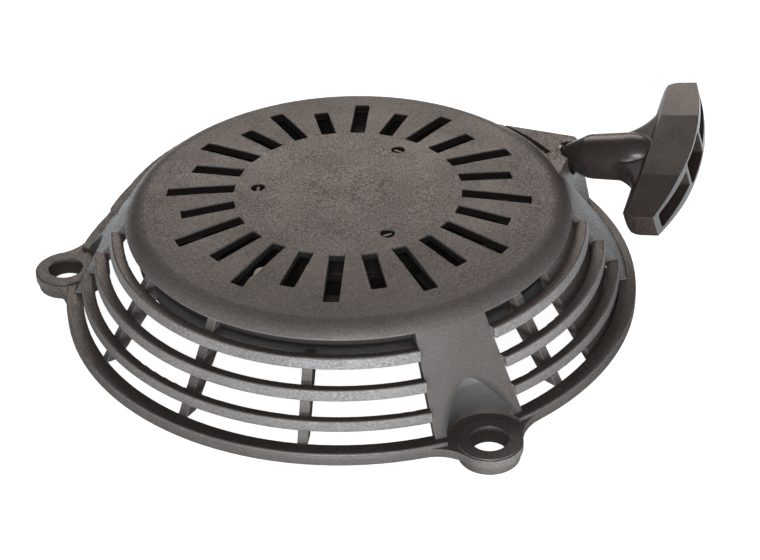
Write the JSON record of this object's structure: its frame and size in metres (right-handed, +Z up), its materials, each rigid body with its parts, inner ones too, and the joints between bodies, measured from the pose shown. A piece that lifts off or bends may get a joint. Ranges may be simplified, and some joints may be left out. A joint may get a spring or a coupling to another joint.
{
  "type": "recoil starter",
  "caption": "Pull-cord recoil starter for a mower engine: domed slotted top over a ringed cage with bolt ears, rope reel, pawls and a T-shaped grip.",
  "frame": {"origin": "on the reel's axis, in the plane of the undersides of the bolt pads", "axes": "+Z up along the reel's axis, away from the engine; +X towards the side where the grip rests, halfway between two ears; -X through the third ear"},
  "size_m": [0.2144, 0.1804, 0.0484],
  "materials": {
    "case_plastic": "fine-grained moulded black plastic",
    "grip_plastic": "smooth satin black plastic",
    "reel_plastic": "satin moulded plastic",
    "guide_plastic": "satin moulded plastic",
    "rope": "braided cord",
    "eyelet_steel": "drawn, plated",
    "cup_steel": "pressed sheet",
    "spring_steel": "rolled, oiled",
    "screw_steel": "zinc plated",
    "pawl_steel": "hardened, tumbled"
  },
  "bodies": {
    "case": {"starter_case": "case_plastic", "rope_eyelet": "eyelet_steel", "spring_cup": "cup_steel", "recoil_spring": "spring_steel", "centre_screw": "screw_steel", "retainer_washer": "screw_steel", "centre_sleeve": "screw_steel", "rope_run": "rope"},
    "reel": {"reel": "reel_plastic", "rope_coil": "rope", "rope_reel_knot": "rope", "pawl_spring_a": "spring_steel", "pawl_spring_b": "spring_steel"},
    "pawl_a": {"pawl_a": "pawl_steel"},
    "pawl_b": {"pawl_b": "pawl_steel"},
    "guide": {"ratchet_guide": "guide_plastic", "friction_spring": "spring_steel"},
    "grip": {"starter_grip": "grip_plastic", "grip_rope": "rope", "rope_grip_knot": "rope", "grip_washer": "screw_steel"}
  },
  "joints": [
    {"name": "reel_spin", "type": "hinge", "parent": "case", "child": "reel", "pos_m": [0, 0, 0.0248], "axis": [0, 0, 1], "range_deg": [-1003.41, 0], "stiffness_Nm_per_rad": 0.0316, "springref_deg": 634.26, "deforming": ["recoil_spring", "rope_coil"]},
    {"name": "grip_pull", "type": "slide", "parent": "case", "child": "grip", "axis": [0.9294, -0.3128, 0.1959], "range_m": [0, 0.952], "deforming": ["rope_run"]},
    {"name": "guide_turn", "type": "hinge", "parent": "reel", "child": "guide", "pos_m": [0, 0, 0.01], "axis": [0, 0, 1], "range_deg": [0, 30], "stiffness_Nm_per_rad": 0.006, "springref_deg": -14.32},
    {"name": "pawl_a_swing", "type": "hinge", "parent": "reel", "child": "pawl_a", "pos_m": [0, 0.0165, 0.0159], "axis": [0, 0, 1], "range_deg": [-0.5, 35.5], "deforming": ["pawl_spring_a"]},
    {"name": "pawl_b_swing", "type": "hinge", "parent": "reel", "child": "pawl_b", "pos_m": [0, -0.0165, 0.0159], "axis": [0, 0, 1], "range_deg": [-0.5, 35.5], "deforming": ["pawl_spring_b"]}
  ],
  "couplings": [
    {"joint": "grip_pull", "follows": "reel_spin", "m_per_rad": -0.0543},
    {"joint": "pawl_a_swing", "follows": "guide_turn", "ratio": 1.1667},
    {"joint": "pawl_b_swing", "follows": "guide_turn", "ratio": 1.1667}
  ]
}
